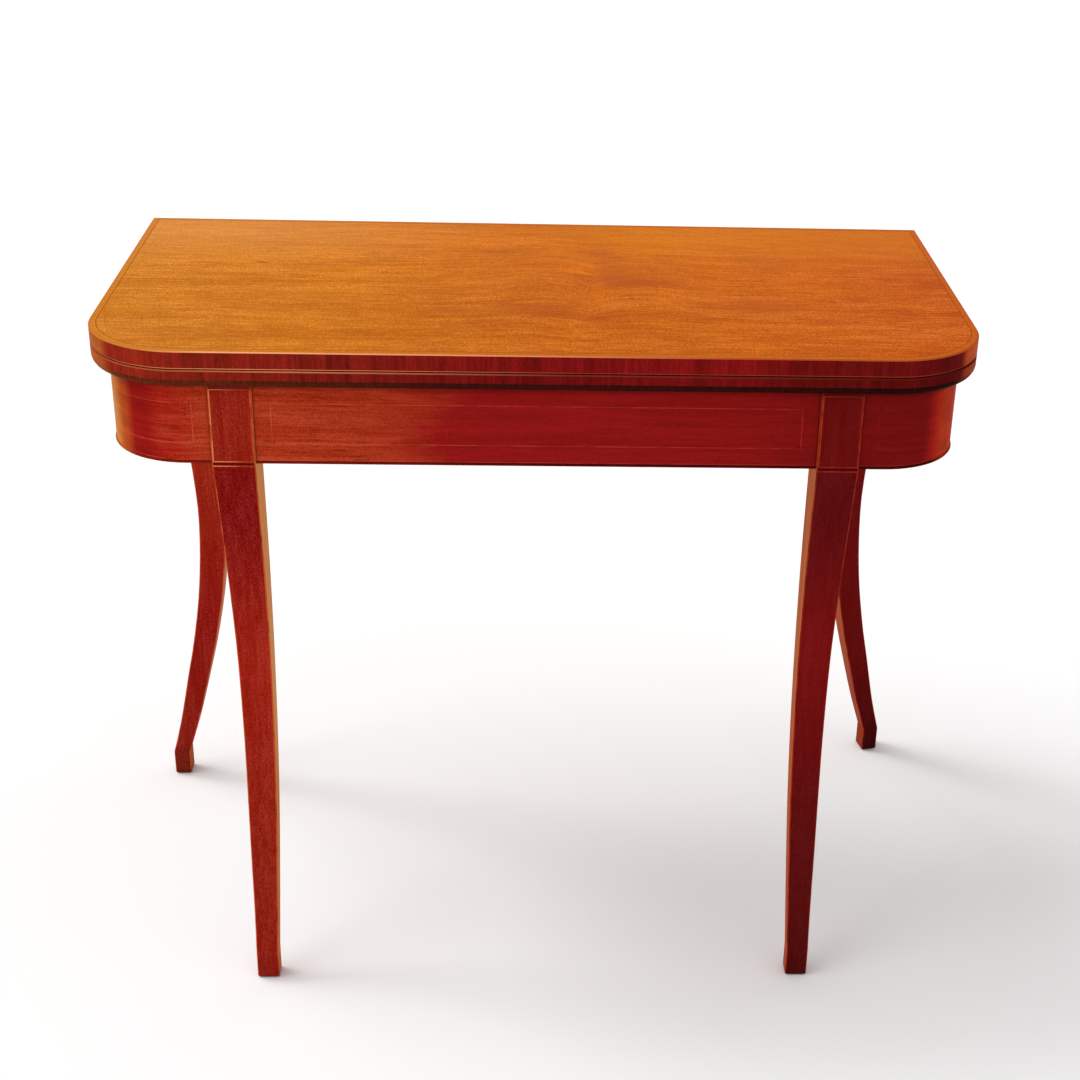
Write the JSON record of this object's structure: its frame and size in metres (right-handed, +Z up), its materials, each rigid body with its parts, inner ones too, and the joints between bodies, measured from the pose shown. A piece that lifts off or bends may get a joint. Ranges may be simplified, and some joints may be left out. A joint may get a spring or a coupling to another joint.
{
  "type": "fold over card table",
  "caption": "Fold over card table with a D-shaped folding top, string-inlaid mahogany frieze, sabre legs and fly legs that swing out to carry the open leaf.",
  "frame": {"origin": "on the floor, in the table's middle plane, halfway between the front and back edges of the closed top", "axes": "+Z up, front of the table at -Y, +X to the right of someone who faces the front"},
  "size_m": [0.9527, 0.5244, 0.74],
  "materials": {
    "golden_mahogany": "polished",
    "red_mahogany": "polished",
    "pine": "raw",
    "beech": "raw",
    "baize": "napped",
    "brass": "polished",
    "iron": "dull"
  },
  "bodies": {
    "frame": {"lower_leaf": "red_mahogany", "baize_lower": "baize", "hinge_lower_plate_left": "brass", "hinge_lower_plate_right": "brass", "hinge_pin_left": "brass", "hinge_pin_right": "brass", "hinge_screw_lower_left_1": "iron", "hinge_screw_lower_left_2": "iron", "hinge_screw_lower_right_1": "iron", "hinge_screw_lower_right_2": "iron", "front_rail": "red_mahogany", "end_rail_left": "red_mahogany", "end_rail_right": "red_mahogany", "inner_back_rail": "pine", "hinge_rail": "beech", "medial_rail": "pine", "knuckle_pin_left": "iron", "knuckle_pin_right": "iron", "front_leg_left": "red_mahogany", "front_leg_right": "red_mahogany", "front_block_left": "pine", "front_block_right": "pine", "rear_block_left": "pine", "rear_block_right": "pine", "bead_front": "red_mahogany", "bead_left": "red_mahogany", "bead_right": "red_mahogany", "pocket_screw_1": "iron", "pocket_screw_2": "iron", "pocket_screw_3": "iron", "pocket_screw_4": "iron", "pocket_screw_5": "iron", "pocket_screw_6": "iron", "rail_screw_1": "iron", "rail_screw_2": "iron", "rail_screw_3": "iron", "rail_screw_4": "iron"},
    "leaf": {"upper_leaf": "golden_mahogany", "baize_upper": "baize", "leaf_tenon": "beech", "hinge_upper_plate_left": "brass", "hinge_upper_plate_right": "brass", "hinge_screw_upper_left_1": "iron", "hinge_screw_upper_left_2": "iron", "hinge_screw_upper_right_1": "iron", "hinge_screw_upper_right_2": "iron"},
    "fly_left": {"fly_rail_left": "beech", "rear_leg_left": "red_mahogany"},
    "fly_right": {"fly_rail_right": "beech", "rear_leg_right": "red_mahogany"}
  },
  "joints": [
    {"name": "leaf_hinge", "type": "hinge", "parent": "frame", "child": "leaf", "pos_m": [0, 0.2327, 0.7209], "axis": [-1, 0, 0], "range_deg": [0, 180]},
    {"name": "fly_left_swing", "type": "hinge", "parent": "frame", "child": "fly_left", "pos_m": [-0.165, 0.1958, 0], "axis": [0, 0, -1], "range_deg": [0, 80]},
    {"name": "fly_right_swing", "type": "hinge", "parent": "frame", "child": "fly_right", "pos_m": [0.165, 0.1958, 0], "axis": [0, 0, 1], "range_deg": [-12, 68]}
  ]
}
